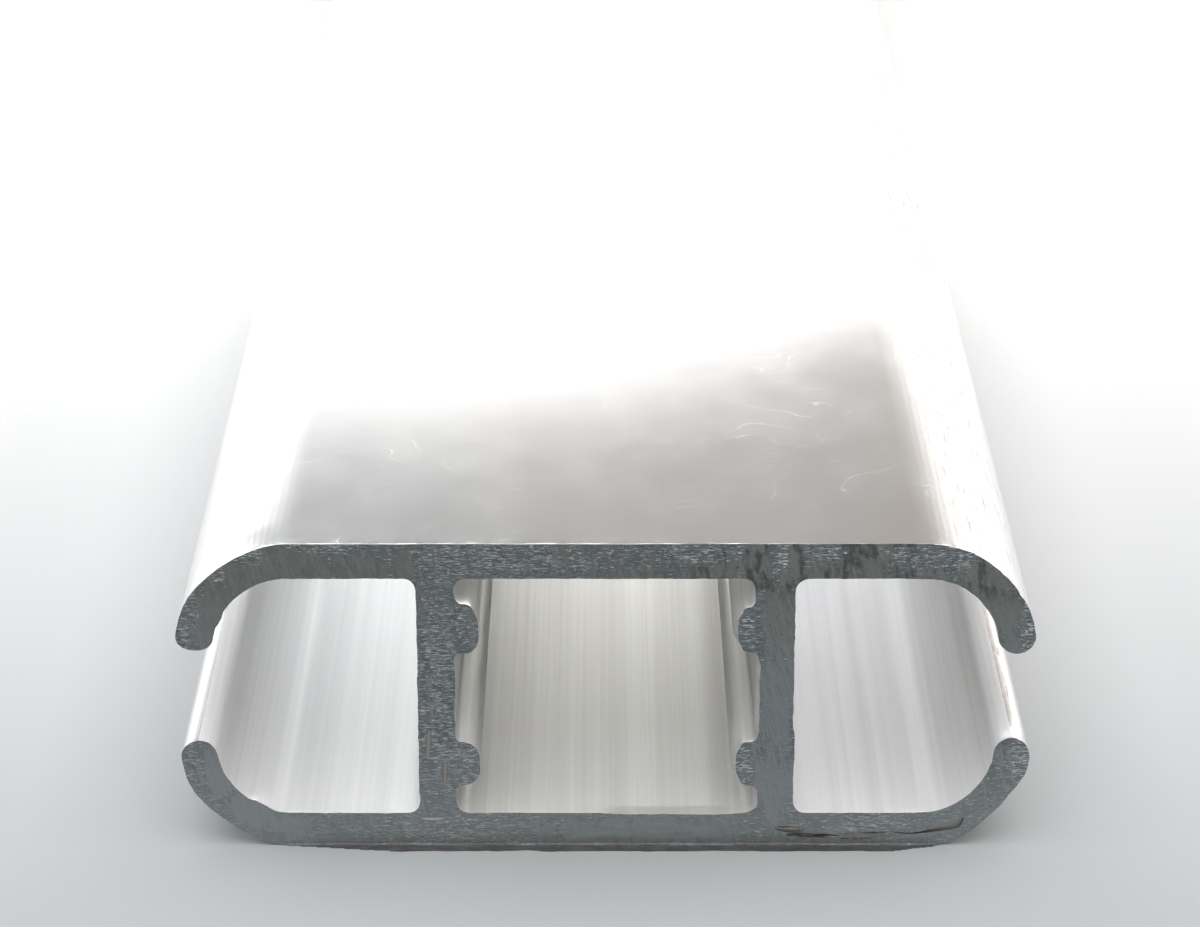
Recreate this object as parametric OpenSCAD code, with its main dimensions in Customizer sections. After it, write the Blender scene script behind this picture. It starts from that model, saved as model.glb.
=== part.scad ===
// Aluminium extrusion profile: a flat bar of hollow section with two webs, a closed
// centre chamber with four half-round ribs, and an open channel along each side.
// The bar lies along Y on its bottom flange. The origin is in the middle of the
// bottom face, and +Z is up. All sizes are in millimetres.

/* [Overall] */
// Length of the cut bar
length = 1000; // [200:10:2000]
// Width over the rounded sides, before the mouths are cut
width = 46; // [43:0.5:70]
// Height of the section from bottom face to top face
height = 18; // [17:0.5:30]

/* [Walls] */
// Thickness of the two flanges and of the lips that they turn into
wall = 2; // [1.4:0.1:2.6]
// Thickness of the two upright webs
web = 2; // [1.2:0.1:3]
// Outer radius of the shoulder where a flange turns into a lip
shoulder_r = 6; // [4:0.1:7]

/* [Side channels] */
// Clear height of the mouth between the upper and the lower lip
mouth = 5.2; // [4:0.1:6.4]

/* [Centre chamber] */
// Clear width of the centre chamber from web to web
chamber_w = 16.2; // [12:0.1:20]
// Radius of the fillets in the corners of all three hollows
corner_fillet = 0.7; // [0.3:0.1:1]

/* [Ribs] */
// Radius of each half-round rib on the inner face of a web
rib_r = 1.3; // [0.8:0.1:1.6]
// Distance from the inner face of a flange to the middle of the nearest rib
rib_drop = 3; // [2.6:0.1:4]
// Radius of the fillet where a rib meets its web
rib_fillet = 0.35; // [0.1:0.05:0.5]

/* [Hidden] */
$fn = 96;

inner_h = height - 2 * wall;
web_face_x = chamber_w / 2;              // inner face of a web
channel_x = web_face_x + web;            // outer face of a web, the back of a channel
shoulder_x = width / 2 - shoulder_r;     // centre of a shoulder's arcs
shoulder_y = height / 2 - shoulder_r;
inner_r = shoulder_r - wall;             // inside radius of a shoulder
lip_mid_r = shoulder_r - wall / 2;       // middle of the lip's thickness
tip_y = mouth / 2 + wall / 2;            // middle of a lip's round tip
tip_angle = tip_y > shoulder_y ? asin((tip_y - shoulder_y) / lip_mid_r) : 0;
rib_y = inner_h / 2 - rib_drop;
past = 1;                                // how far a cut runs past the metal

// A rectangle from x0 to x1, centred on the X axis, with one corner radius at each end.
module bar_hollow(x0, x1, h, r0, r1) {
    translate([x0 + r0, -h / 2]) square([x1 - r1 - x0 - r0, h]);
    translate([x0, -h / 2 + r0]) square([r0, h - 2 * r0]);
    translate([x1 - r1, -h / 2 + r1]) square([r1, h - 2 * r1]);
    for (side = [-1, 1]) {
        translate([x0 + r0, side * (h / 2 - r0)]) circle(r0);
        translate([x1 - r1, side * (h / 2 - r1)]) circle(r1);
    }
}

// The solid outline of the section, with its four round shoulders.
module outline() {
    bar_hollow(-width / 2, width / 2, height, shoulder_r, shoulder_r);
}

// The fillet on one side of a rib, tangent to the rib and to the web.
module rib_root() {
    rise = sqrt(pow(rib_r + rib_fillet, 2) - pow(rib_fillet, 2));
    difference() {
        polygon([[0, 0], [-rib_fillet, rise], [0, rise]]);
        translate([-rib_fillet, rise]) circle(rib_fillet);
    }
}

// One rib on the right-hand web, with its middle at the origin.
module rib() {
    circle(rib_r);
    rib_root();
    mirror([0, 1]) rib_root();
}

// The closed hollow between the webs, less the four ribs.
module centre_chamber() {
    difference() {
        bar_hollow(-web_face_x, web_face_x, inner_h, corner_fillet, corner_fillet);
        for (flip_x = [0, 1], flip_y = [0, 1])
            mirror([flip_x, 0]) mirror([0, flip_y]) translate([web_face_x, rib_y]) rib();
    }
}

// The open mouth of the right-hand channel, cut square across both lips at their tips.
module channel_mouth() {
    reach = shoulder_r + past;
    inner_end = [shoulder_x, tip_y - lip_mid_r * sin(tip_angle)];
    outer_end = inner_end + reach * [cos(tip_angle), sin(tip_angle)];
    polygon([
        inner_end,
        outer_end,
        [outer_end[0], -outer_end[1]],
        [inner_end[0], -inner_end[1]]
    ]);
}

// The right-hand channel: the hollow behind the lips, and its mouth.
module side_channel() {
    bar_hollow(channel_x, width / 2 - wall, inner_h, corner_fillet, inner_r);
    channel_mouth();
}

// The full-round tips of the two right-hand lips.
module lip_tips() {
    for (side = [-1, 1])
        translate([shoulder_x + lip_mid_r * cos(tip_angle), side * tip_y]) circle(wall / 2);
}

module section() {
    difference() {
        outline();
        centre_chamber();
        for (flip = [0, 1]) mirror([flip, 0]) side_channel();
    }
    for (flip = [0, 1]) mirror([flip, 0]) lip_tips();
}

module profile() {
    color("silver")
        translate([0, 0, height / 2])
            rotate([90, 0, 0])
                linear_extrude(height = length, center = true)
                    section();
}

profile();
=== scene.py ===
"""An aluminium extrusion profile lying on a pale floor, seen from above its saw-cut end."""

import math

import bmesh
import bpy
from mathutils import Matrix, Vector


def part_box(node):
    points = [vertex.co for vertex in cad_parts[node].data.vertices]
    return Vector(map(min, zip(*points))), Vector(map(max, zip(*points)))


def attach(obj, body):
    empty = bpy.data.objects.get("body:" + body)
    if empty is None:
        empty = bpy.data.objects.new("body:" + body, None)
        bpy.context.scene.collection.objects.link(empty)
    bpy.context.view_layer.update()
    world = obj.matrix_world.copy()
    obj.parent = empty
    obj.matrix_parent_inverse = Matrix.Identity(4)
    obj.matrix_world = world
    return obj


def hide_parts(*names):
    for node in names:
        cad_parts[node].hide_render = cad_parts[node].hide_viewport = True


MM = 0.001

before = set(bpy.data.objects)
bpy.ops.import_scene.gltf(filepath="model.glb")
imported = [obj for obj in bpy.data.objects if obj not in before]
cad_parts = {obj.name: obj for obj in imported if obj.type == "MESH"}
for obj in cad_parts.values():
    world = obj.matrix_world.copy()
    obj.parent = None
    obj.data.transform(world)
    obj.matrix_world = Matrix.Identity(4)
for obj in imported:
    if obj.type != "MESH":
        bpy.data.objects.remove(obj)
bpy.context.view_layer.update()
LOW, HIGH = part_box("profile")
FRONT_Y = LOW.y
BACK_Y = HIGH.y
LENGTH = BACK_Y - FRONT_Y
MID_Z = (LOW.z + HIGH.z) / 2

# The section's sizes. It is modelled about its own middle, and lifted to MID_Z when it is done.
WALL = 2.0 * MM  # flanges and lips
WEB = 2.0 * MM
SHOULDER_R = 6.0 * MM  # outside radius where a flange turns into a lip
MOUTH = 5.2 * MM  # clear height between two lips' tips
CHAMBER_W = 16.2 * MM
CORNER_FILLET = 0.7 * MM
RIB_R = 1.3 * MM
RIB_DROP = 3.0 * MM  # from a flange's inner face to the middle of a rib
RIB_FILLET = 0.35 * MM

TOP = (HIGH.z - LOW.z) / 2
CEILING = TOP - WALL
SHOULDER_Z = TOP - SHOULDER_R
LIP_MID_R = SHOULDER_R - WALL / 2
TIP_Z = MOUTH / 2 + WALL / 2
TIP_ANGLE = math.asin((TIP_Z - SHOULDER_Z) / LIP_MID_R)
SHOULDER_X = HIGH.x - WALL / 2 - LIP_MID_R * math.cos(TIP_ANGLE)
WEB_IN = CHAMBER_W / 2
WEB_OUT = WEB_IN + WEB
RIB_Z = CEILING - RIB_DROP

CELL = 0.125 * MM  # the mesh of the two ends, fine enough to hold their saw marks
RIM = 0.05 * MM  # a narrow loop all round the edges of a cut
LOOPS = [0.06 * MM, 0.16 * MM, 0.4 * MM, 0.9 * MM, 1.8 * MM, 3.2 * MM]  # rings behind each end
TINY = 0.01 * MM
SMOOTH_BELOW = math.radians(35)  # edges flatter than this are shaded smooth

# the bar's material slots, in the order that they are added
SKIN, HOLLOW, CUT, BURR = range(4)


# ---------------------------------------------------------------- modelling helpers


def start_editing(piece):
    """Makes a piece the only selected object and opens it in edit mode."""
    bpy.ops.object.select_all(action="DESELECT")
    piece.select_set(True)
    bpy.context.view_layer.objects.active = piece
    bpy.ops.object.mode_set(mode="EDIT")


def stop_editing():
    bpy.ops.object.mode_set(mode="OBJECT")


def pick(kind, test):
    """Selects only the faces, edges or verts whose middle and direction pass the test.

    A face's or a vert's direction is its normal, and an edge's is the way that it runs."""
    mode = {"faces": "FACE", "edges": "EDGE", "verts": "VERT"}[kind]
    bpy.ops.mesh.select_mode(type=mode)
    bpy.ops.mesh.select_all(action="DESELECT")
    data = bpy.context.edit_object.data
    mesh = bmesh.from_edit_mesh(data)
    mesh.normal_update()
    for item in getattr(mesh, kind):
        if kind == "faces":
            middle, direction = item.calc_center_median(), item.normal
        elif kind == "edges":
            a, b = item.verts
            middle, direction = (a.co + b.co) / 2, b.co - a.co
        else:
            middle, direction = item.co, item.normal
        item.select_set(bool(test(middle, direction)))
    mesh.select_flush_mode()
    bmesh.update_edit_mesh(data)


def slice_at(place, normal):
    """Cuts the piece in edit mode along a plane and keeps both sides."""
    bpy.ops.mesh.select_all(action="SELECT")
    bpy.ops.mesh.bisect(plane_co=place, plane_no=normal, threshold=TINY / 10)


def near(a, b):
    return abs(a - b) < TINY


def is_long(direction):
    """True for an edge that runs from one end of the bar to the other."""
    return abs(direction.y) > LENGTH / 2


# ---------------------------------------------------------------- the bar


def quarter_bar():
    """The upper right quarter of the section, all along: flange, shoulder, lip, web and rib."""
    bpy.ops.object.select_all(action="DESELECT")
    bpy.ops.mesh.primitive_cube_add(size=1, location=(SHOULDER_X / 2, 0, TOP - WALL / 2))
    quarter = bpy.context.object
    quarter.name = "extruded_bar"
    quarter.scale = (SHOULDER_X, LENGTH, WALL)
    bpy.ops.object.transform_apply(location=True, rotation=True, scale=True)
    start_editing(quarter)

    # the flange's outer edge swings down round the shoulder
    pick("faces", lambda c, n: near(c.x, SHOULDER_X))
    bpy.ops.mesh.spin(
        steps=24,
        angle=math.pi / 2 - TIP_ANGLE,
        center=(SHOULDER_X, 0, SHOULDER_Z),
        axis=(0, -1, 0),
    )

    # the lip runs on for half its thickness, and its tip is rounded over
    outward = Vector((math.cos(TIP_ANGLE), 0, math.sin(TIP_ANGLE)))
    down = Vector((math.sin(TIP_ANGLE), 0, -math.cos(TIP_ANGLE)))
    arc_end = Vector((SHOULDER_X, 0, SHOULDER_Z)) + LIP_MID_R * outward
    pick("faces", lambda c, n: n.dot(down) > 0.999 and (c - arc_end).length < TINY)
    bpy.ops.mesh.extrude_region_move(TRANSFORM_OT_translate={"value": down * WALL / 2})
    tip = arc_end + down * WALL / 2
    pick("edges", lambda c, d: near((c - tip).dot(down), 0) and is_long(d))
    bpy.ops.mesh.bevel(offset=WALL / 2 - TINY, segments=10, affect="EDGES")

    # the web hangs from the flange, and the rib stands on the web
    slice_at((WEB_IN, 0, 0), (1, 0, 0))
    slice_at((WEB_OUT, 0, 0), (1, 0, 0))
    pick("faces", lambda c, n: n.z < -0.9 and WEB_IN < c.x < WEB_OUT)
    bpy.ops.mesh.extrude_region_move(TRANSFORM_OT_translate={"value": (0, 0, -CEILING)})
    slice_at((0, 0, RIB_Z - RIB_R), (0, 0, 1))
    slice_at((0, 0, RIB_Z + RIB_R), (0, 0, 1))
    pick("faces", lambda c, n: near(c.x, WEB_IN) and abs(c.z - RIB_Z) < RIB_R / 2)
    bpy.ops.mesh.extrude_region_move(TRANSFORM_OT_translate={"value": (-RIB_R, 0, 0)})

    # flat stretches become single faces again, so that each long corner can be rounded
    bpy.ops.mesh.select_all(action="SELECT")
    bpy.ops.mesh.dissolve_limited(angle_limit=math.radians(0.5))
    pick("edges", lambda c, d: near(c.x, WEB_IN - RIB_R) and is_long(d))
    bpy.ops.mesh.bevel(offset=RIB_R - RIB_FILLET - TINY, segments=8, affect="EDGES")
    pick("edges", lambda c, d: near(c.x, WEB_IN) and near(abs(c.z - RIB_Z), RIB_R) and is_long(d))
    bpy.ops.mesh.bevel(offset=RIB_FILLET, segments=4, affect="EDGES")
    pick(
        "edges",
        lambda c, d: near(c.z, CEILING)
        and (near(c.x, WEB_IN) or near(c.x, WEB_OUT))
        and is_long(d),
    )
    bpy.ops.mesh.bevel(offset=CORNER_FILLET, segments=6, affect="EDGES")

    # the faces on the two mirror planes go, and each end gets its rim
    pick("faces", lambda c, n: near(c.x, 0) or (near(c.z, 0) and n.z < -0.9))
    bpy.ops.mesh.delete(type="FACE")
    pick("faces", lambda c, n: abs(n.y) > 0.9)
    bpy.ops.mesh.inset(thickness=RIM, use_boundary=False)
    return quarter


def whole_bar():
    """The bar with a fine mesh on both ends, mirrored from its quarter."""
    bar = quarter_bar()
    for step in range(1, math.ceil(HIGH.x / CELL)):
        slice_at((step * CELL, 0, 0), (1, 0, 0))
    for step in range(1, math.ceil(TOP / CELL)):
        slice_at((0, 0, step * CELL), (0, 0, 1))
    stop_editing()
    mirror = bar.modifiers.new("four quarters", "MIRROR")
    mirror.use_axis = (True, False, True)
    mirror.merge_threshold = TINY / 10
    bpy.ops.object.modifier_apply(modifier=mirror.name)
    start_editing(bar)
    for back in LOOPS:
        slice_at((0, FRONT_Y + back, 0), (0, 1, 0))
        slice_at((0, BACK_Y - back, 0), (0, 1, 0))
    bpy.ops.mesh.select_all(action="SELECT")
    bpy.ops.mesh.remove_doubles(threshold=TINY / 2)
    bpy.ops.mesh.normals_make_consistent(inside=False)
    stop_editing()
    bar.location.z = MID_Z
    bpy.ops.object.transform_apply(location=True, rotation=True, scale=True)
    bpy.ops.object.shade_smooth_by_angle(angle=SMOOTH_BELOW)
    return bar


def is_inside(place):
    """True for a face of the chamber or of a side channel, as far as the middle of a lip's tip."""
    x, z = abs(place.x), abs(place.z - MID_Z)
    if x < WEB_OUT + TINY:
        return z < CEILING + TINY
    from_middle = math.hypot(max(x - SHOULDER_X, 0), max(z - SHOULDER_Z, 0))
    reach = LIP_MID_R if z < TIP_Z else SHOULDER_R - WALL + TINY
    return z < CEILING + TINY and from_middle < reach


def behind_end(y):
    """How far a place lies behind the nearer end of the bar."""
    return min(y - FRONT_Y, BACK_Y - y)


def is_top_edge(place):
    """True for a face of the narrow strip that the saw wore along the flange's top edge."""
    return near(place.z, HIGH.z) and behind_end(place.y) < LOOPS[0]


SMEARED_FROM_X = 4 * MM  # right of this the saw smeared its cut over the front end's top edge


def on_section(place):
    """A place as millimetres across the section and above its bottom face."""
    return place.x / MM, (place.z - LOW.z) / MM


# Where the saw bent or wore the edges of the front end, in mm: the stretch of edge that moved, as
# its lowest and highest x and z, then how far it moved in x and z, how far round it that reaches,
# and how far behind the end
DENTS = [
    ((-20.8, -20.0, 16.6, 17.2), (0.12, -0.16), 3.4, 3.4),  # upper left shoulder, outside
    ((-22.6, -21.4, 11.3, 11.6), (0.04, 0.20), 1.6, 1.0),  # upper left lip's tip
    ((-20.8, -20.5, 13.4, 13.8), (0.10, -0.06), 0.5, 0.5),
    ((-8.0, -7.4, 14.1, 14.5), (0.14, 0.20), 0.8, 0.5),  # upper left rib
    ((-7.4, -7.0, 11.7, 12.1), (0.06, -0.12), 0.8, 0.5),
    ((-20.9, -19.9, 1.0, 2.0), (0.14, 0.18), 3.0, 3.0),  # lower left shoulder, outside
    ((-18.9, -18.4, 2.4, 3.0), (0.05, 0.12), 0.8, 0.5),
    ((1.5, 6.0, 1.9, 2.1), (0.0, -0.10), 1.8, 0.17),  # front edge of the chamber's floor
    ((6.7, 7.2, 12.1, 13.9), (0.28, 0.0), 0.7, 0.5),  # right-hand ribs
    ((6.7, 7.2, 4.1, 5.9), (0.26, 0.0), 0.7, 0.5),
    ((8.0, 8.2, 7.0, 10.8), (0.18, 0.0), 1.2, 0.3),  # right web, towards the chamber
    ((8.0, 8.2, 14.5, 15.5), (-0.14, 0.0), 0.8, 0.5),
    ((8.0, 8.2, 2.4, 3.4), (0.14, -0.05), 0.8, 0.3),
    ((10.0, 10.2, 2.5, 6.5), (0.10, 0.0), 1.2, 0.5),  # right web, towards the channel
    ((21.0, 21.8, 15.2, 16.6), (-0.07, -0.07), 2.6, 2.6),  # upper right shoulder, outside
    ((21.0, 22.0, 1.6, 3.0), (-0.20, 0.22), 2.6, 2.6),  # lower right shoulder, outside
    ((20.8, 22.0, 6.2, 6.7), (0.0, 0.18), 1.4, 1.0),  # lower right lip's tip
]


def is_on_edge(stretch, place, normal):
    """True for a vert of the front end's edges that lies within a stretch of them."""
    left, right, low, high = stretch
    x, z = on_section(place)
    on_edge = place.y < FRONT_Y + TINY and abs(normal.y) < 0.99
    return on_edge and left < x < right and low < z < high


def dent(bar):
    """Moves stretches of the front end's edges a little, each fading out round it."""
    start_editing(bar)
    for stretch, (across, up), reach, depth in DENTS:
        # what is hidden stays where it is
        pick("verts", lambda c, n: c.y > FRONT_Y + depth * MM)
        bpy.ops.mesh.hide()
        pick("verts", lambda c, n: is_on_edge(stretch, c, n))
        bpy.ops.transform.translate(
            value=(across * MM, 0, up * MM),
            use_proportional_edit=True,
            proportional_edit_falloff="SMOOTH",
            proportional_size=reach * MM,
        )
        bpy.ops.mesh.reveal(select=False)
    stop_editing()


# The burr along the bottom edge, in mm: where it starts and stops, and how much shorter it gets
# at each end with every step that it comes forward
BURR_LEFT = -17.4
BURR_RIGHT = 18.2
BURR_LEFT_TAPER = 0.8
BURR_RIGHT_TAPER = 0.35
BURR_STEPS = 8
BURR_STEP = 0.085 * MM
BURR_THICK = CELL
BURR_THINNING = 0.85  # its thickness after each step, as a share of the last
BURR_SHOWS = 0.12 * MM  # further forward than any wave of the cut


def draw_out_burr(bar):
    """Pulls a thin tongue of metal out along the front end's bottom edge, as the saw did."""
    start_editing(bar)
    for step in range(BURR_STEPS):
        front = FRONT_Y - step * BURR_STEP
        start = BURR_LEFT + step * BURR_LEFT_TAPER
        stop = BURR_RIGHT - step * BURR_RIGHT_TAPER
        pick(
            "faces",
            lambda c, n: n.y < -0.9
            and near(c.y, front)
            and c.z < LOW.z + BURR_THICK
            and start < c.x / MM < stop,
        )
        bpy.ops.mesh.extrude_region_move(TRANSFORM_OT_translate={"value": (0, -BURR_STEP, 0)})
        bpy.ops.transform.resize(value=(1, 1, BURR_THINNING), center_override=(0, 0, LOW.z))
    stop_editing()


def weigh(piece, name, weight):
    """A vertex group whose weights come from a function of each vertex's place and normal."""
    group = piece.vertex_groups.new(name=name)
    for vertex in piece.data.vertices:
        value = weight(vertex.co, vertex.normal)
        if value > 0:
            group.add([vertex.index], min(value, 1), "REPLACE")
    return name


def roughen(piece, name, group, grain, depth, direction, middle=0.5, drawn=1.0):
    """Moves the vertices of a group by a noise with that grain, drawn out along x by a factor."""
    noise = bpy.data.textures.new(name, "CLOUDS")
    noise.noise_scale = grain
    noise.noise_depth = 2
    grid = bpy.data.objects.new("grid", None)
    bpy.context.scene.collection.objects.link(grid)
    grid.scale.x = drawn
    bpy.context.view_layer.update()
    modifier = piece.modifiers.new(name, "DISPLACE")
    modifier.texture = noise
    modifier.texture_coords = "OBJECT"
    modifier.texture_coords_object = grid
    modifier.direction = direction
    modifier.vertex_group = group
    modifier.strength = depth
    modifier.mid_level = middle
    bpy.context.view_layer.objects.active = piece
    bpy.ops.object.modifier_apply(modifier=name)
    bpy.data.objects.remove(grid)


def tear(bar):
    """The relief of a saw cut on both ends: a wavy face, ragged edges and a fine burr."""
    torn_depth = 0.3 * MM  # how far behind an end the relief reaches
    calm = 0.8 * MM  # how far above the floor and below the top it builds up
    least = 0.3  # what is left of it at the very top

    def near_end(place):
        return 1 - behind_end(place.y) / torn_depth

    def off_the_floor(place):
        return (place.z - LOW.z) / calm

    def below_the_top(place):
        # a waver here would break up the reflection in the top face
        return least + (HIGH.z - place.z) / calm

    face = weigh(bar, "cut face", lambda p, n: near_end(p))
    edge = weigh(
        bar, "ragged edge", lambda p, n: min(near_end(p), off_the_floor(p), below_the_top(p))
    )
    rim = weigh(
        bar,
        "rim",
        lambda p, n: float(abs(behind_end(p.y)) < TINY and 0.1 < abs(n.y) < 0.97)
        * off_the_floor(p),
    )
    tongue = weigh(bar, "tongue", lambda p, n: (FRONT_Y - p.y) / (BURR_STEPS * BURR_STEP))
    roughen(bar, "chatter", face, 1.6 * MM, 0.08 * MM, "Y")
    roughen(bar, "saw lines", face, 0.3 * MM, 0.05 * MM, "Y", drawn=6)
    roughen(bar, "edge wander across", edge, 1.3 * MM, 0.12 * MM, "X")
    roughen(bar, "edge wander upright", edge, 1.1 * MM, 0.06 * MM, "Z")
    roughen(bar, "fine rag across", edge, 0.35 * MM, 0.05 * MM, "X")
    roughen(bar, "fine rag upright", edge, 0.35 * MM, 0.04 * MM, "Z")
    roughen(bar, "burr", rim, 0.5 * MM, 0.025 * MM, "NORMAL", middle=0.35, drawn=4)
    roughen(bar, "tongue's edge", tongue, 1.8 * MM, 0.25 * MM, "Y")


def oval_cutter(x, z, half_width, half_height, depth, turn=0.0):
    """A smooth oval in millimetres, set into the front end, to cut a nick with."""
    bpy.ops.object.select_all(action="DESELECT")
    bpy.ops.mesh.primitive_uv_sphere_add(segments=24, ring_count=12, radius=1)
    oval = bpy.context.object
    oval.scale = (half_width * MM, depth * MM, half_height * MM)
    oval.rotation_euler.y = math.radians(turn)
    oval.location = (x * MM, FRONT_Y, LOW.z + z * MM)
    bpy.ops.object.transform_apply(location=True, rotation=True, scale=True)
    return oval


# Middle x and z, half width and height, depth and turn of each nick in the front end
NICKS = [
    (-9.57, 6.2, 0.15, 0.85, 0.10, 4),  # three on the left web
    (-8.70, 4.5, 0.14, 0.85, 0.10, 2),
    (-9.44, 1.72, 0.66, 0.14, 0.08, 0),
    (10.05, 0.97, 0.85, 0.16, 0.10, 7),  # the torn patch under the right web
    (11.3, 0.62, 1.5, 0.13, 0.10, 2),
    (14.2, 0.74, 1.3, 0.07, 0.08, -3),
    (13.7, 0.42, 0.9, 0.06, 0.06, 0),
]


def cut_out(bar, cutter, material):
    """Takes a cutter out of the bar, and gives the surface that this lays bare its material."""
    cutter.data.materials.append(material)
    boolean = bar.modifiers.new("cut out", "BOOLEAN")
    boolean.object = cutter
    boolean.operation = "DIFFERENCE"
    boolean.solver = "EXACT"
    boolean.material_mode = "TRANSFER"
    bpy.context.view_layer.objects.active = bar
    bpy.ops.object.modifier_apply(modifier=boolean.name)
    bpy.data.objects.remove(cutter)


def joined(pieces):
    """Several meshes as one object."""
    bpy.ops.object.select_all(action="DESELECT")
    for piece in pieces:
        piece.select_set(True)
    bpy.context.view_layer.objects.active = pieces[0]
    bpy.ops.object.join()
    return pieces[0]


# The split in the lower right shoulder, as degrees round it from straight down, and the inner and
# outer radius in mm: it opens at its right end, and narrows to nothing under the channel
SPLIT = [
    (30, 4.97, 5.05),
    (28, 4.93, 5.25),
    (25, 4.91, 5.42),
    (20, 4.90, 5.37),
    (16, 4.92, 5.29),
    (11, 4.99, 5.25),
    (6, 5.10, 5.24),
    (0, 5.20, 5.28),
    (-7, 5.27, 5.33),
    (-14, 5.32, 5.36),
]
SPLIT_DEPTH = 0.25 * MM


def split_cutter():
    """A horn swept round the lower right shoulder, to part a sliver of the cut edge from it."""
    centre = Vector((SHOULDER_X, FRONT_Y, MID_Z - SHOULDER_Z))

    def at(angle, radius):
        turn = math.radians(angle)
        return centre + radius * MM * Vector((math.sin(turn), 0, -math.cos(turn)))

    angle, inner, outer = SPLIT[0]
    bpy.ops.object.select_all(action="DESELECT")
    bpy.ops.mesh.primitive_plane_add(size=1, rotation=(0, math.pi / 2, 0))
    horn = bpy.context.object
    horn.scale = (outer * MM - inner * MM, 2 * SPLIT_DEPTH, 1)
    horn.location = centre - Vector((0, 0, (inner + outer) / 2 * MM))
    bpy.ops.object.transform_apply(location=True, rotation=True, scale=True)
    start_editing(horn)
    bpy.ops.mesh.select_all(action="SELECT")
    bpy.ops.transform.rotate(value=math.radians(angle), orient_axis="Y", center_override=centre)
    for next_angle, next_inner, next_outer in SPLIT[1:]:
        outward = (next_inner + next_outer) / (inner + outer)
        wider = (next_outer - next_inner) / (outer - inner) / outward
        bpy.ops.mesh.extrude_region_move()
        bpy.ops.transform.rotate(
            value=math.radians(next_angle - angle), orient_axis="Y", center_override=centre
        )
        bpy.ops.transform.resize(value=(outward, 1, outward), center_override=centre)
        middle = at(next_angle, (next_inner + next_outer) / 2)
        bpy.ops.transform.resize(value=(wider, 1, wider), center_override=middle)
        angle, inner, outer = next_angle, next_inner, next_outer
    bpy.ops.mesh.select_all(action="SELECT")
    bpy.ops.mesh.normals_make_consistent(inside=False)
    stop_editing()
    return horn


# How the saw left the front end's surface, as ovals: middle x and z, half width and half height
SMEARED = [
    (-21.3, 12.4, 1.0, 1.8),  # upper left lip and shoulder, all but its outer edge
    (-20.6, 14.4, 1.4, 1.8),
    (-19.0, 16.0, 1.8, 1.2),
    (-16.5, 16.8, 2.6, 1.1),
    (-13.3, 16.6, 2.4, 1.0),
    (-10.7, 16.8, 0.7, 1.6),
    (1.5, 15.7, 3.8, 1.0),  # teeth along the chamber's ceiling
    (5.2, 15.9, 2.6, 1.2),
    (8.1, 16.6, 1.2, 2.2),  # over the right web
    (10.1, 16.8, 0.5, 1.8),
    (12.6, 16.0, 3.4, 1.2),
    (13.9, 16.8, 1.5, 1.4),
    (17.0, 15.9, 2.2, 0.9),
    (19.9, 15.6, 1.9, 1.9),  # upper right shoulder and lip
    (21.2, 13.6, 1.2, 2.0),
    (21.6, 11.8, 0.8, 1.2),
    (15.0, 18.1, 6.5, 0.35),  # along the top edge
    (1.0, 18.1, 8.0, 0.25),
    (9.3, 13.4, 1.3, 3.6),  # right web
    (9.3, 8.5, 1.5, 4.5),
    (9.2, 3.8, 1.2, 3.0),
    (-21.0, 4.6, 1.1, 2.0),  # lower left lip and shoulder
    (-19.2, 2.3, 1.7, 1.3),
    (-17.2, 1.2, 1.6, 0.8),
    (2.5, 0.9, 6.5, 0.9),  # bottom flange, towards the right
]
# where bright flecks show, in the same form: partly bare torn metal, partly painted glints of the
# light above
FLECKED_AND_GLINTING = [
    (-22.4, 12.4, 0.7, 1.6),  # upper left, outer edge
    (-21.9, 14.4, 0.8, 1.2),
    (-20.7, 16.0, 1.0, 1.0),
    (-18.8, 17.2, 1.6, 0.8),
    (-15.0, 17.7, 3.2, 0.7),
    (-5.0, 17.2, 8.5, 1.4),  # top flange
    (5.0, 17.5, 3.6, 1.0),
    (9.4, 17.2, 0.6, 1.2),
    (11.6, 17.5, 1.6, 0.9),
    (16.4, 17.5, 3.2, 0.8),
    (16.5, 16.7, 0.5, 1.2),
    (17.9, 16.7, 0.5, 1.4),
    (19.0, 16.9, 1.0, 1.2),
    (22.5, 13.3, 0.7, 2.4),  # upper right lip, outer edge
    (-9.1, 9.0, 1.8, 9.0),  # left web and its ribs
    (-7.6, 13.1, 1.3, 1.6),
    (-7.6, 4.9, 1.3, 1.6),
    (-8.5, 1.0, 7.0, 1.4),  # bottom flange
    (-0.5, 1.0, 5.0, 0.8),
    (7.5, 12.9, 0.7, 1.5),  # right-hand ribs
    (7.5, 4.9, 0.9, 1.5),
    (14.3, 1.4, 3.4, 0.9),
    (22.3, 5.2, 0.9, 1.9),  # lower right lip, outer edge
    (-22.3, 5.0, 0.7, 1.8),
]


def paint(bar, name, ovals):
    """Writes how deep each vertex lies in the nearest oval, from 0 at its edge, on both ends.

    The back end has the front's pattern turned about, because each was sawn from one side."""
    values = bar.data.attributes.new(name, "FLOAT", "POINT").data
    for vertex in bar.data.vertices:
        x, z = on_section(vertex.co)
        if vertex.co.y > 0:
            x = -x
        values[vertex.index].value = max(
            0, max(1 - math.hypot((x - cx) / w, (z - cz) / h) for cx, cz, w, h in ovals)
        )


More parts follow.
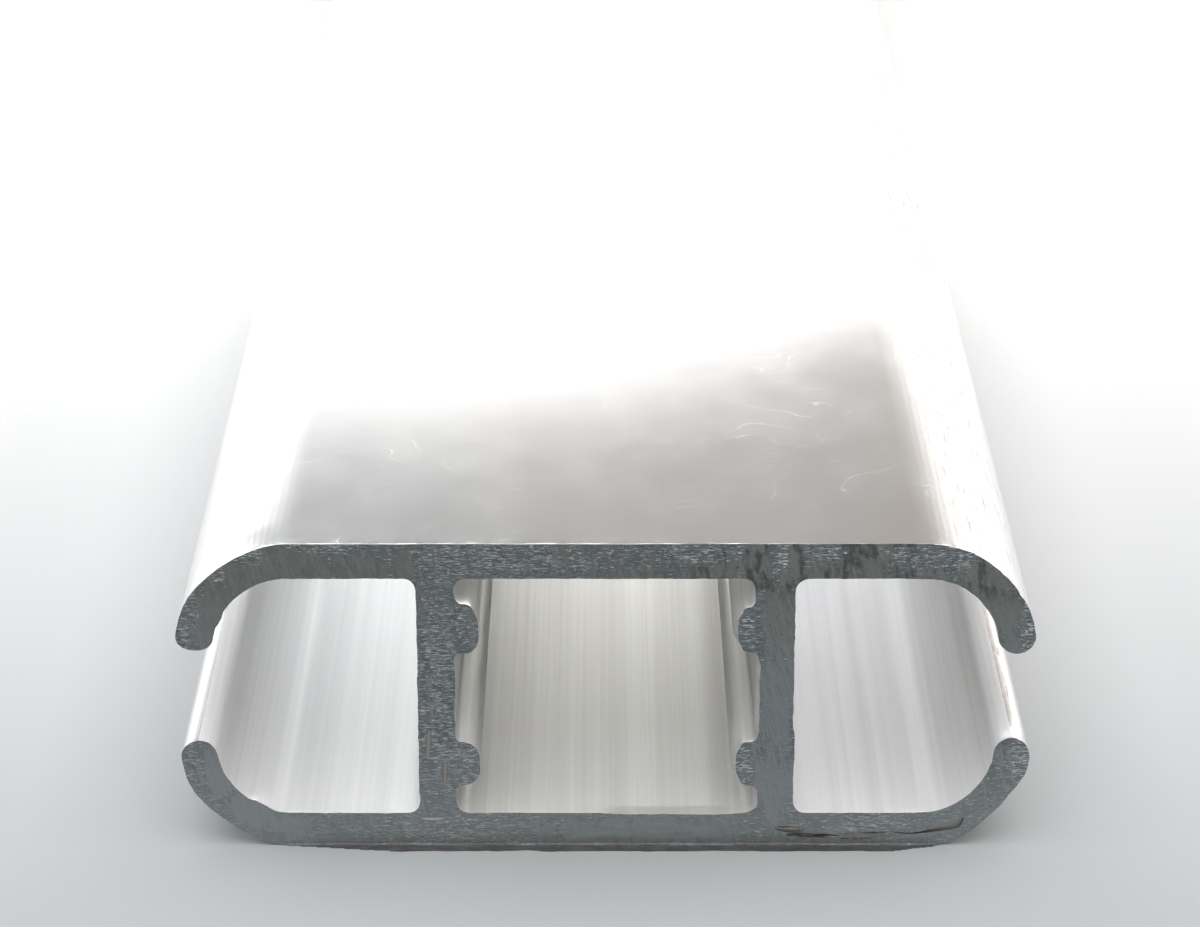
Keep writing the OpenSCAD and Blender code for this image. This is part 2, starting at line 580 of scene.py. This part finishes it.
def saw_both_ends(bar, burr):
    """Turns the bar's two clean ends into saw cuts."""
    dent(bar)
    draw_out_burr(bar)
    tear(bar)
    for first in (0, 1):
        # every other nick at a time, as cutters in one cut mustn't overlap
        cut_out(bar, joined([oval_cutter(*nick) for nick in NICKS[first::2]]), burr)
    cut_out(bar, split_cutter(), burr)
    paint(bar, "smeared", SMEARED)
    # the flecks are partly painted glints of the light above
    paint(bar, "flecked_and_glinting", FLECKED_AND_GLINTING)
    bpy.ops.object.select_all(action="DESELECT")
    bar.select_set(True)
    bpy.context.view_layer.objects.active = bar
    bpy.ops.object.shade_smooth_by_angle(angle=SMOOTH_BELOW)


# ---------------------------------------------------------------- materials


def linear(code):
    """An sRGB hex colour, such as "a8b0b4", as the linear RGBA that a shader takes."""
    parts = [int(code[i : i + 2], 16) / 255 for i in (0, 2, 4)]
    return [c / 12.92 if c <= 0.04045 else ((c + 0.055) / 1.055) ** 2.4 for c in parts] + [1]


def add(tree, kind, inputs=(), output=0, **settings):
    """Adds a node with its settings, and sets or links its inputs, by name or in their order.

    A text input is an sRGB hex colour. What comes back is the output asked for, ready to link."""
    made = tree.nodes.new(kind)
    for name, value in settings.items():
        setattr(made, name, value)
    pairs = inputs.items() if isinstance(inputs, dict) else enumerate(inputs)
    for name, value in pairs:
        if isinstance(value, bpy.types.NodeSocket):
            tree.links.new(value, made.inputs[name])
        elif isinstance(value, str):
            made.inputs[name].default_value = linear(value)
        else:
            made.inputs[name].default_value = value
    return made.outputs[output] if made.outputs else made


def new_material(name):
    """An empty node material, its tree, and where a point of the piece is in metres."""
    material = bpy.data.materials.new(name)
    material.use_nodes = True
    tree = material.node_tree
    tree.nodes.clear()
    return material, tree, add(tree, "ShaderNodeTexCoord", output="Object")


def drawn_noise(tree, place, size, turn=(0, 0, 0), detail=3):
    """A pattern whose grains are size across in x, y and z, turned by degrees about each."""
    angles = [math.radians(angle) for angle in turn]
    scale = [1 / length for length in size]
    turned = add(tree, "ShaderNodeMapping", {"Vector": place, "Rotation": angles})
    drawn = add(tree, "ShaderNodeMapping", {"Vector": turned, "Scale": scale})
    return add(
        tree,
        "ShaderNodeTexNoise",
        {"Vector": drawn, "Scale": 1, "Detail": detail, "Roughness": 0.6},
        "Fac",
    )


def metal(tree, colour, roughness, height, depth, metallic=1.0):
    """Finishes a material as a metal surface, whose height stands for depth in metres."""
    bump = add(tree, "ShaderNodeBump", {"Height": height, "Strength": 1, "Distance": depth})
    surface = add(
        tree,
        "ShaderNodeBsdfPrincipled",
        {"Base Color": colour, "Metallic": metallic, "Roughness": roughness, "Normal": bump},
    )
    add(tree, "ShaderNodeOutputMaterial", (surface,))


# Each material is built from a few kinds of node. A Map Range takes a value, its start and its
# end, and follows it from 0 to 1, or from the fourth number to the fifth. A Mix takes a factor,
# and its colours are its inputs 6 and 7 and its output 2.
RANGE = "ShaderNodeMapRange"
MATH = "ShaderNodeMath"
MIX = "ShaderNodeMix"


def mill_finish_skin():
    """Aluminium as it leaves the die: bright and nearly smooth, its lines too fine to see on
    the flat, and showing as faint streaks where the shoulders turn away."""
    material, tree, place = new_material("mill_finish_aluminium")
    die_lines = drawn_noise(tree, place, (0.25 * MM, 60 * MM, 0.25 * MM))
    orange_peel = drawn_noise(tree, place, (2 * MM, 3 * MM, 2 * MM), detail=0)
    grain = drawn_noise(tree, place, (0.12 * MM, 0.2 * MM, 0.12 * MM), detail=1)
    across = add(tree, "ShaderNodeSeparateXYZ", (place,), "X")

    # handling leaves it rougher: hairline scratches, faint smudges and rubbed dashes on the right
    smudges = drawn_noise(tree, place, (5 * MM, 8 * MM, 5 * MM), detail=4)
    straight = drawn_noise(tree, place, (0.09 * MM, 3.5 * MM, 1), turn=(0, 0, 65), detail=1)
    wander = drawn_noise(tree, place, (6 * MM, 5 * MM, 6 * MM), detail=1)
    from_middle = add(tree, MATH, (wander, 0.5), operation="SUBTRACT")
    from_contour = add(tree, MATH, (from_middle,), operation="ABSOLUTE")
    contour = add(tree, RANGE, (from_contour, 0.004, 0.001))
    smudged = add(tree, RANGE, (smudges, 0.54, 0.62))
    curved = add(tree, MATH, (contour, smudged), operation="MULTIPLY")
    drawn = add(tree, RANGE, (straight, 0.70, 0.76))
    scratched = add(tree, MATH, (curved, drawn), operation="MAXIMUM")
    scuffs = drawn_noise(tree, place, (0.14 * MM, 2.5 * MM, 0.14 * MM), detail=4)
    on_right = add(tree, RANGE, (across, 17.5 * MM, 19.5 * MM))
    dashes = add(tree, RANGE, (scuffs, 0.56, 0.66))
    scuffed = add(tree, MATH, (dashes, on_right), operation="MULTIPLY")
    faint = add(tree, MATH, (scratched, 0.25), operation="MULTIPLY")
    worn = add(tree, MATH, (faint, scuffed), operation="MAXIMUM")

    from_centre = add(tree, MATH, (across,), operation="ABSOLUTE")
    on_shoulder = add(tree, RANGE, (from_centre, 16.5 * MM, 18.5 * MM))
    lined = add(tree, MATH, (die_lines, on_shoulder), operation="MULTIPLY")
    height = add(tree, MATH, (lined, 1.5, orange_peel), operation="MULTIPLY_ADD")
    polish = add(tree, RANGE, (smudges, 0.40, 0.70, 0.105, 0.125))
    polish = add(tree, MATH, (on_shoulder, 0.09, polish), operation="MULTIPLY_ADD")
    roughness = add(tree, MATH, (worn, 0.3, polish), operation="MULTIPLY_ADD")
    grained = add(tree, RANGE, (grain, 0.35, 0.65))
    bright = add(tree, MIX, {"Factor": grained, 6: "f3f2f1", 7: "eeecea"}, 2, data_type="RGBA")
    colour = add(tree, MIX, {"Factor": scuffed, 6: bright, 7: "d0cbc8"}, 2, data_type="RGBA")
    metal(tree, colour, roughness, height, 0.001 * MM)
    return material


def mill_finish_hollow():
    """The inside of an extrusion: duller than its skin, under a bloom of white oxide, with the
    die's lines plain to see."""
    material, tree, place = new_material("mill_finish_hollow")
    bands = drawn_noise(tree, place, (1.6 * MM, 200 * MM, 1.6 * MM))
    die_lines = drawn_noise(tree, place, (0.22 * MM, 80 * MM, 0.22 * MM))
    streaks = add(tree, MATH, (die_lines, 0.5, bands), operation="MULTIPLY_ADD")
    across = add(tree, "ShaderNodeSeparateXYZ", (place,), "X")
    from_centre = add(tree, MATH, (across,), operation="ABSOLUTE")
    in_channel = add(tree, MATH, (from_centre, WEB_IN + WEB / 2), operation="GREATER_THAN")
    strength = add(tree, RANGE, (streaks, 0.55, 0.95))
    chamber = add(tree, MIX, {"Factor": strength, 6: "efefed", 7: "dedddb"}, 2, data_type="RGBA")
    channel = add(tree, MIX, {"Factor": strength, 6: "f5f5f4", 7: "e8e8e8"}, 2, data_type="RGBA")
    colour = add(tree, MIX, {"Factor": in_channel, 6: chamber, 7: channel}, 2, data_type="RGBA")
    roughness = add(tree, RANGE, (streaks, 0.5, 0.9, 0.38, 0.48))
    metal(tree, colour, roughness, die_lines, 0.004 * MM, metallic=0.5)
    return material


def saw_cut_aluminium():
    """Aluminium torn by a saw: slate grey and dull, with bright flecks along the scratches
    where it tore, partly bare metal and partly painted glints of the light above, and
    darker where the teeth smeared it over."""
    material, tree, place = new_material("saw_cut_aluminium")
    across = add(tree, "ShaderNodeSeparateXYZ", (place,), "X")
    upward = add(tree, "ShaderNodeSeparateXYZ", (place,), "Z")
    on_right = add(tree, RANGE, (across, 1 * MM, 7 * MM))
    smeared = add(tree, "ShaderNodeAttribute", output="Fac", attribute_name="smeared")
    flecked_and_glinting = add(tree, "ShaderNodeAttribute", output="Fac", attribute_name="flecked_and_glinting")

    # 0.05 mm is about the finest stroke that shows
    level = drawn_noise(tree, place, (0.28 * MM, 1, 0.05 * MM), detail=1)
    long_strokes = drawn_noise(tree, place, (1.3 * MM, 1, 0.045 * MM), detail=2)
    leaning = drawn_noise(tree, place, (0.9 * MM, 1, 0.05 * MM), turn=(0, -72, 0))
    teeth = drawn_noise(tree, place, (0.30 * MM, 1, 3.0 * MM), turn=(0, 8, 0))
    specks = drawn_noise(tree, place, (0.06 * MM, 1, 0.06 * MM), detail=2)
    patches = drawn_noise(tree, place, (0.5 * MM, 1, 1.3 * MM), turn=(0, 8, 0))
    tints = drawn_noise(tree, place, (0.2 * MM, 1, 0.2 * MM))

    # the smeared metal's edge is broken into teeth
    toothed = add(tree, MATH, (teeth, 0.5), operation="SUBTRACT")
    smear_depth = add(tree, MATH, (toothed, 2.0, smeared), operation="MULTIPLY_ADD")
    speckled = add(tree, MATH, (specks, 0.5), operation="SUBTRACT")
    smear_depth = add(tree, MATH, (speckled, 0.7, smear_depth), operation="MULTIPLY_ADD")
    smear = add(tree, RANGE, (smear_depth, 0.10, 0.28))

    # slate grey where it tore
    half_level = add(tree, MATH, (level, 0.5), operation="MULTIPLY")
    texture = add(tree, MATH, (specks, 0.5, half_level), operation="MULTIPLY_ADD")
    strength = add(tree, RANGE, (texture, 0.38, 0.62))
    slate = add(tree, MIX, {"Factor": strength, 6: "686e6f", 7: "9aa0a1"}, 2, data_type="RGBA")
    strength = add(tree, RANGE, (patches, 0.45, 0.7, 0, 0.4))
    slate = add(tree, MIX, {"Factor": strength, 6: slate, 7: "6c7375"}, 2, data_type="RGBA")

    # duller where it is smeared, with leaning strokes, and dark patches in the top flange
    upper = add(tree, RANGE, (upward, 9 * MM, 15 * MM))
    over = add(tree, MIX, {"Factor": upper, 6: "92989a", 7: "868985"}, 2, data_type="RGBA")
    pale = add(tree, RANGE, (leaning, 0.52, 0.72, 0, 0.35))
    over = add(tree, MIX, {"Factor": pale, 6: over, 7: "a9aca9"}, 2, data_type="RGBA")
    deep = add(tree, RANGE, (leaning, 0.46, 0.30, 0, 0.35))
    over = add(tree, MIX, {"Factor": deep, 6: over, 7: "4b4e4a"}, 2, data_type="RGBA")
    in_flange = add(tree, RANGE, (upward, 14.5 * MM, 15.5 * MM))
    patched = add(tree, RANGE, (patches, 0.48, 0.60, 0, 0.6))
    dark = add(tree, MATH, (patched, in_flange), operation="MULTIPLY")
    more_on_right = add(tree, RANGE, (on_right, 0, 1, 0.25, 1))
    dark = add(tree, MATH, (dark, more_on_right), operation="MULTIPLY")
    over = add(tree, MIX, {"Factor": dark, 6: over, 7: "3e423f"}, 2, data_type="RGBA")
    body = add(tree, MIX, {"Factor": smear, 6: slate, 7: over}, 2, data_type="RGBA")
    # painted light: the cut is painted paler towards its bottom, standing in for more light
    # reaching it there
    lower = add(tree, RANGE, (upward, 7 * MM, 1.5 * MM))
    strength = add(tree, MATH, (lower, 0.42), operation="MULTIPLY")
    body = add(tree, MIX, {"Factor": strength, 6: body, 7: "b4babb"}, 2, data_type="RGBA")

    # flecks, partly bare torn metal and partly painted glints of the light above, thin out towards
    # the edges of where the metal tore, and stop where it is smeared
    need = add(tree, RANGE, (flecked_and_glinting, 0.0, 0.6, 0.66, 0.57))
    past_need = add(tree, MATH, (level, need), operation="SUBTRACT")
    fine = add(tree, RANGE, (past_need, 0.0, 0.08))
    past_need = add(tree, MATH, (long_strokes, need), operation="SUBTRACT")
    coarse = add(tree, RANGE, (past_need, 0.06, 0.10))
    fleck_and_glint_strokes = add(tree, MATH, (fine, coarse), operation="MAXIMUM")
    covered = add(tree, MATH, (smear, 0.8), operation="MULTIPLY")
    bare = add(tree, MATH, (1.0, covered), operation="SUBTRACT")
    fleck_and_glint_strokes = add(tree, MATH, (fleck_and_glint_strokes, bare), operation="MULTIPLY")
    tint = add(tree, RANGE, (tints, 0.4, 0.6))
    fleck_and_glint = add(tree, MIX, {"Factor": tint, 6: "bccacd", 7: "d4ccc7"}, 2, data_type="RGBA")
    fleck_and_glint = add(tree, MIX, {"Factor": on_right, 6: fleck_and_glint, 7: "dde1e2"}, 2, data_type="RGBA")
    colour = add(tree, MIX, {"Factor": fleck_and_glint_strokes, 6: body, 7: fleck_and_glint}, 2, data_type="RGBA")
    bare_level = add(tree, MATH, (level, bare), operation="MULTIPLY")
    height = add(tree, MATH, (leaning, smear, bare_level), operation="MULTIPLY_ADD")
    metal(tree, colour, 0.55, height, 0.006 * MM)
    return material


def smeared_burr():
    """Aluminium drawn out into a burr, painted dark grey-brown where it stands out along the
    bottom edge as painted shade for the dark strip there, brown in the torn patch on the right,
    and pale in the nicks on the left and in the split."""
    material, tree, place = new_material("smeared_burr")
    across = add(tree, "ShaderNodeSeparateXYZ", (place,), "X")
    along = add(tree, "ShaderNodeSeparateXYZ", (place,), "Y")
    drawn = drawn_noise(tree, place, (0.9 * MM, 0.3 * MM, 0.08 * MM))
    on_burr = add(tree, RANGE, (along, FRONT_Y - 0.05 * MM, FRONT_Y - 0.1 * MM))
    on_left = add(tree, RANGE, (across, 7 * MM, 0))
    in_split = add(tree, RANGE, (across, 15.6 * MM, 16.4 * MM))
    clean = add(tree, MATH, (on_left, in_split), operation="MAXIMUM")
    strength = add(tree, RANGE, (drawn, 0.4, 0.65))
    brown = add(tree, MIX, {"Factor": strength, 6: "453d38", 7: "a89e95"}, 2, data_type="RGBA")
    nick = add(tree, MIX, {"Factor": clean, 6: brown, 7: "a9a7a3"}, 2, data_type="RGBA")
    # painted shade: the burr standing out along the bottom edge is painted dark, for the strip of
    # shade there
    burr_in_painted_shade = add(tree, MIX, {"Factor": strength, 6: "787370", 7: "8a8784"}, 2, data_type="RGBA")
    colour = add(tree, MIX, {"Factor": on_burr, 6: nick, 7: burr_in_painted_shade}, 2, data_type="RGBA")
    metal(tree, colour, 0.5, drawn, 0.004 * MM)
    return material


def backdrop_paper():
    """Matt paper, grey in front and paler behind the front end, where the light meets it: a
    painted pool of light, which dims again far behind.
    """
    material, tree, place = new_material("backdrop_paper")
    along = add(tree, "ShaderNodeSeparateXYZ", (place,), "Y")
    # painted light: the paper's colour rises from grey to pale behind the front end and dims again
    # far behind, as the light on it would
    painted_light_rise = add(tree, RANGE, (along, FRONT_Y - 30 * MM, FRONT_Y + 100 * MM))
    painted_light_falloff = add(tree, RANGE, (along, FRONT_Y + 200 * MM, FRONT_Y + 700 * MM, 1, 0.7))
    pale = add(tree, MATH, (painted_light_rise, painted_light_falloff), operation="MULTIPLY")
    tint = add(tree, MIX, {"Factor": pale, 6: "a3a7aa", 7: "eeeeee"}, 2, data_type="RGBA")
    paper = add(
        tree,
        "ShaderNodeBsdfPrincipled",
        {"Base Color": tint, "Roughness": 0.9, "Specular IOR Level": 0.1},
    )
    add(tree, "ShaderNodeOutputMaterial", (paper,))
    return material


# ---------------------------------------------------------------- studio


def lay_floor():
    bpy.ops.object.select_all(action="DESELECT")
    bpy.ops.mesh.primitive_plane_add(size=14)
    floor = bpy.context.object
    floor.name = "floor"
    floor.data.materials.append(backdrop_paper())


def area_light(name, place, aim, size, radiance, tint="ffffff", shape="RECTANGLE"):
    """A softbox, unseen by the camera, whose face is as bright as radiance."""
    light = bpy.data.lights.new(name, "AREA")
    light.shape = shape
    light.size, light.size_y = size
    face = size[0] * size[1] * (math.pi / 4 if shape == "ELLIPSE" else 1)
    light.energy = radiance * math.pi * face
    light.color = linear(tint)[:3]
    lamp = bpy.data.objects.new(name, light)
    bpy.context.scene.collection.objects.link(lamp)
    lamp.location = place
    lamp.rotation_euler = (Vector(aim) - Vector(place)).to_track_quat("-Z", "Y").to_euler()
    lamp.visible_camera = False
    return lamp


def upright_height(distance, rise):
    """The height of a softbox standing halfway in the floor, whose top rises that many degrees."""
    return 2 * distance * math.tan(math.radians(rise))


def light_room():
    """A dim room, cooler and a little brighter on the left."""
    world = bpy.data.worlds.new("studio")
    bpy.context.scene.world = world
    world.use_nodes = True
    tree = world.node_tree
    direction = add(tree, "ShaderNodeTexCoord", output="Generated")
    to_right = add(tree, "ShaderNodeSeparateXYZ", (direction,), "X")
    tint = add(tree, RANGE, (to_right, -0.1, 0.1))
    sky = add(tree, MIX, {"Factor": tint, 6: "f6fafd", 7: "f2ebe6"}, 2, data_type="RGBA")
    background = tree.nodes["Background"]
    tree.links.new(sky, background.inputs["Color"])
    background.inputs["Strength"].default_value = 0.47


def light_studio():
    # a white screen behind the bar, whose round top stands 22.1 degrees above the front end, and a
    # wide, lower wall behind that
    forward = Vector((0, -1, 0))
    screen_far = 1.6
    screen = Vector((-0.12, FRONT_Y + screen_far, 0))
    screen_size = (1.16, upright_height(screen_far, 22.1))
    area_light("white_screen", screen, screen + forward, screen_size, 1.2, shape="ELLIPSE")
    wall_far = 1.75
    wall = Vector((0, FRONT_Y + wall_far, 0))
    wall_size = (4.5, upright_height(wall_far, 20.0))
    area_light("white_wall", wall, wall + forward, wall_size, 1.15)

    # light from above the front end, from over the floor behind it, and from both sides
    area_light("overhead_softbox", (0, FRONT_Y - 0.2, 1.2), (0, FRONT_Y - 0.2, 0), (1.6, 1.8), 1.9)
    area_light("floor_light", (0, FRONT_Y + 0.35, 0.5), (0, FRONT_Y + 0.18, 0), (0.6, 0.3), 0.5)
    for name, side in (("left_wall", -1), ("right_wall", 1)):
        side_wall = Vector((side * 1.5, FRONT_Y + 0.6, 0.75))
        area_light(name, side_wall, (0, FRONT_Y + 0.6, 0), (2.0, 0.9), 1.25)


# Each hollow's middle and width, how bright its panel is, the panel's tint, and how bright the
# ceiling's panel is
CHANNEL_X = (WEB_OUT + HIGH.x) / 2
HOLLOWS = [
    ("chamber", 0, 2 * WEB_IN, 29, "fffefc", 0.1),
    ("left_channel", -CHANNEL_X, 11.5 * MM, 26.5, "fbfcff", 0.45),
    ("right_channel", CHANNEL_X, 11.5 * MM, 17, "f8f9ff", 0.3),
]
PANEL_BACK = 125 * MM  # how far behind an end its panels stand
CEILING_PANEL_BACK = 30 * MM
CEILING_PANEL_SIZE = (9 * MM, 40 * MM)


def light_hollows():
    """Panels across the hollows, facing the ends, light them as an open far end does a short bar,
    and faint ones under their ceilings lift the shade in the shoulders."""
    down = Vector((0, 0, -1))
    for end_y, way in ((FRONT_Y, 1), (BACK_Y, -1)):
        for name, x, width, radiance, tint, _ in HOLLOWS:
            place = (x, end_y + way * PANEL_BACK, MID_Z)
            size = (width, 2 * CEILING)
            area_light(f"{name}_panel", place, (x, end_y, MID_Z), size, radiance, tint)
        for name, x, _, _, _, radiance in HOLLOWS:
            under = Vector((x, end_y + way * CEILING_PANEL_BACK, MID_Z + CEILING - TINY))
            area_light(f"{name}_ceiling_panel", under, under + down, CEILING_PANEL_SIZE, radiance)


def place_camera():
    """In front of the cut end and above it, with a long lens, looking down at it."""
    back = 179.5 * MM
    above = 88.3 * MM
    looks_down = 22.59
    camera = bpy.data.objects.new("camera", bpy.data.cameras.new("camera"))
    bpy.context.scene.collection.objects.link(camera)
    camera.location = (-0.3 * MM, FRONT_Y - back, MID_Z + above)
    camera.rotation_euler = (math.radians(90 - looks_down), 0, 0)
    camera.data.lens = 111.4
    camera.data.sensor_width = 36
    camera.data.clip_start = 0.01
    camera.data.clip_end = 50
    bpy.context.scene.camera = camera


# ---------------------------------------------------------------- the scene

bpy.context.scene.view_settings.view_transform = "Standard"
place_camera()
bar = whole_bar()
burr = smeared_burr()
for material in (mill_finish_skin(), mill_finish_hollow(), saw_cut_aluminium(), burr):
    bar.data.materials.append(material)
for face in bar.data.polygons:
    if behind_end(face.center.y) < TINY:
        face.material_index = CUT
    elif is_inside(face.center):
        face.material_index = HOLLOW
    elif is_top_edge(face.center):
        # the saw dulled the left part, and smeared its cut over the right
        is_dulled = (face.center.x < SMEARED_FROM_X) == (face.center.y < 0)
        face.material_index = HOLLOW if is_dulled else CUT
saw_both_ends(bar, burr)
for face in bar.data.polygons:
    if face.center.y < FRONT_Y - BURR_SHOWS:
        face.material_index = BURR
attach(bar, "root")
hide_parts("profile")
lay_floor()
light_room()
light_studio()
light_hollows()
